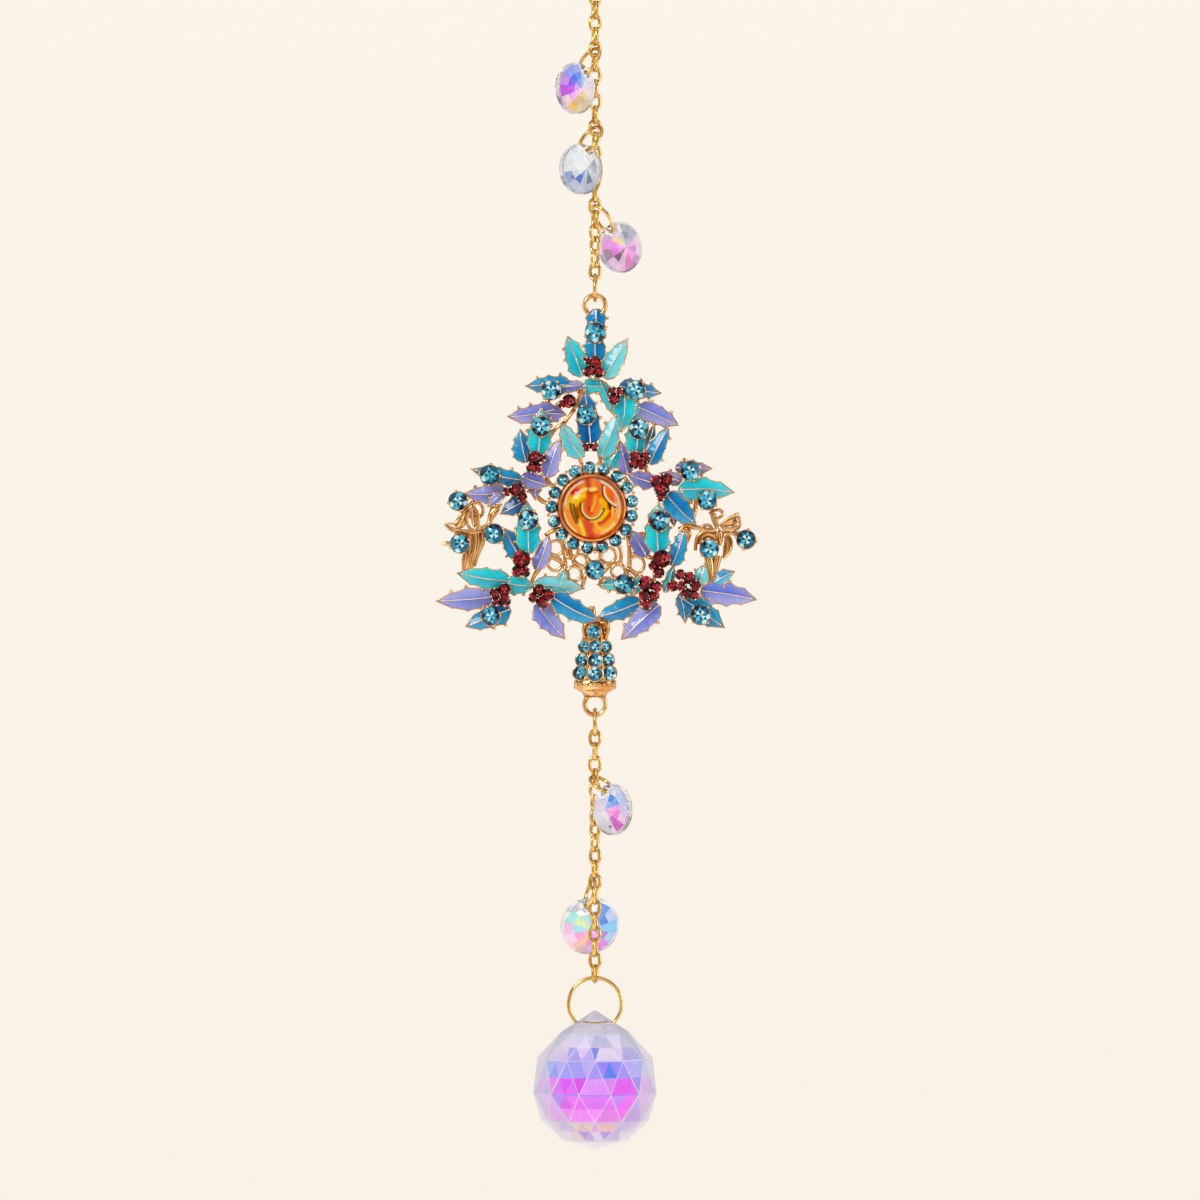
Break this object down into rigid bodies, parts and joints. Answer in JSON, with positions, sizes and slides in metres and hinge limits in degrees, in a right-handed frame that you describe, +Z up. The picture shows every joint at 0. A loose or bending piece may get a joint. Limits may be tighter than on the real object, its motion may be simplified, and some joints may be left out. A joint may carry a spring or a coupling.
{
  "type": "crystal suncatcher",
  "caption": "Hanging suncatcher: enamelled holly-tree pendant set with stones around an amber cabochon, on a link chain with faceted glass discs and a faceted glass ball.",
  "frame": {"origin": "the point where a hook holds the top of the hanging ring, at the inside of its upper wire", "axes": "+Z up along the chain, -Y the way the pendant's stones face, +X to the viewer's right"},
  "size_m": [0.0752, 0.029, 0.3055],
  "materials": {
    "gold": "polished gold plate",
    "enamelled_casting": "gilded casting with glossy blue, turquoise and lilac enamel",
    "amber_glass": "polished",
    "blue_stone": "faceted",
    "ruby_stone": "faceted",
    "clear_crystal": "faceted"
  },
  "bodies": {
    "root": {"hanging_ring": "gold", "chain_upper": "gold", "connector_upper": "gold", "connector_lower": "gold", "chain_lower": "gold", "ball_ring": "gold", "jump_ring_disc_1": "gold", "jump_ring_disc_2": "gold", "jump_ring_disc_3": "gold", "jump_ring_disc_4": "gold", "jump_ring_disc_5": "gold", "tree_casting": "enamelled_casting", "cabochon": "amber_glass", "blue_stone_01": "blue_stone", "blue_stone_02": "blue_stone", "blue_stone_03": "blue_stone", "blue_stone_04": "blue_stone", "blue_stone_05": "blue_stone", "blue_stone_06": "blue_stone", "blue_stone_07": "blue_stone", "blue_stone_08": "blue_stone", "blue_stone_09": "blue_stone", "blue_stone_10": "blue_stone", "blue_stone_11": "blue_stone", "blue_stone_12": "blue_stone", "blue_stone_13": "blue_stone", "blue_stone_14": "blue_stone", "blue_stone_15": "blue_stone", "blue_stone_16": "blue_stone", "blue_stone_17": "blue_stone", "blue_stone_18": "blue_stone", "blue_stone_19": "blue_stone", "blue_stone_20": "blue_stone", "berries_01": "ruby_stone", "berries_02": "ruby_stone", "berries_03": "ruby_stone", "berries_04": "ruby_stone", "berries_05": "ruby_stone", "berries_06": "ruby_stone", "berries_07": "ruby_stone", "berries_08": "ruby_stone", "berries_09": "ruby_stone", "berries_10": "ruby_stone", "berries_11": "ruby_stone", "berries_12": "ruby_stone", "berries_13": "ruby_stone", "berries_14": "ruby_stone", "crystal_disc_1": "clear_crystal", "crystal_disc_2": "clear_crystal", "crystal_disc_3": "clear_crystal", "crystal_disc_4": "clear_crystal", "crystal_disc_5": "clear_crystal", "crystal_ball": "clear_crystal"}
  },
  "joints": []
}
